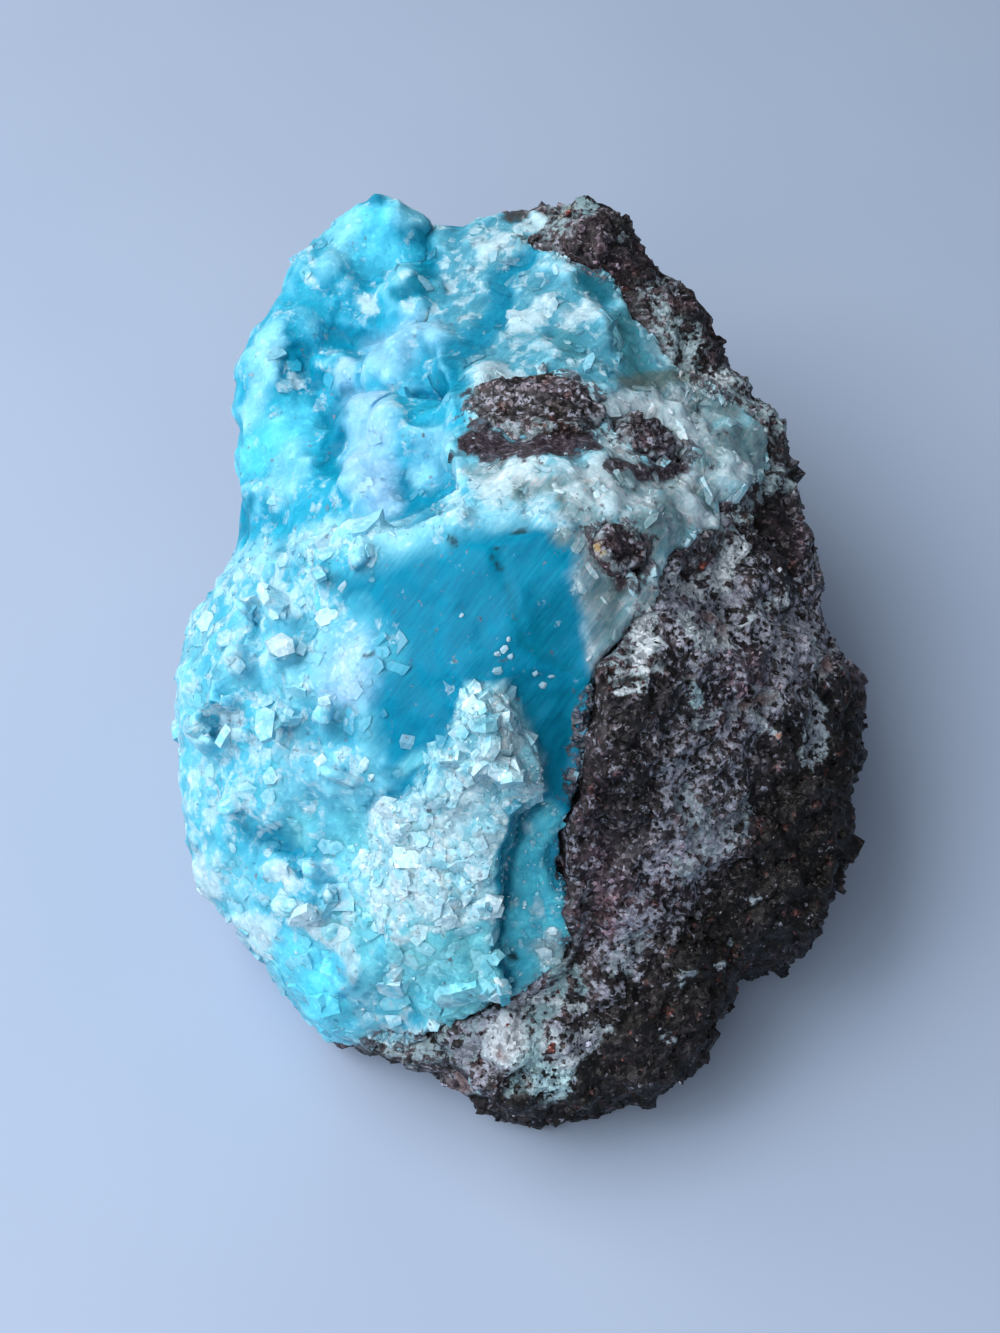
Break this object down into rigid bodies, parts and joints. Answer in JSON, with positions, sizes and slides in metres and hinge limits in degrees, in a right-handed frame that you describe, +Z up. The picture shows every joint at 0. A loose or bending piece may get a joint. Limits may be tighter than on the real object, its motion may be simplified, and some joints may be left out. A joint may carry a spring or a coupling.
{
  "type": "hemimorphite mineral specimen",
  "caption": "Loose hand specimen: a thick sky-blue hemimorphite crust with a sparkling druse on dark granular rock, standing on its broken base.",
  "frame": {"origin": "on the ground under the middle of the stone's bounding box", "axes": "+Z up, -Y towards the viewer, so that the display face leans back towards +Y; +X to the viewer's right"},
  "size_m": [0.063, 0.0844, 0.049],
  "materials": {
    "rock": "dull granular iron-oxide rock with small glints",
    "hemimorphite": "vitreous and translucent, sky blue to white, rough with small crystals"
  },
  "bodies": {
    "root": {"matrix_rock": "rock", "hemimorphite_crust": "hemimorphite", "rock_fragment_left": "rock", "rock_fragment_right": "rock", "rock_fragment_low": "rock"}
  },
  "joints": []
}
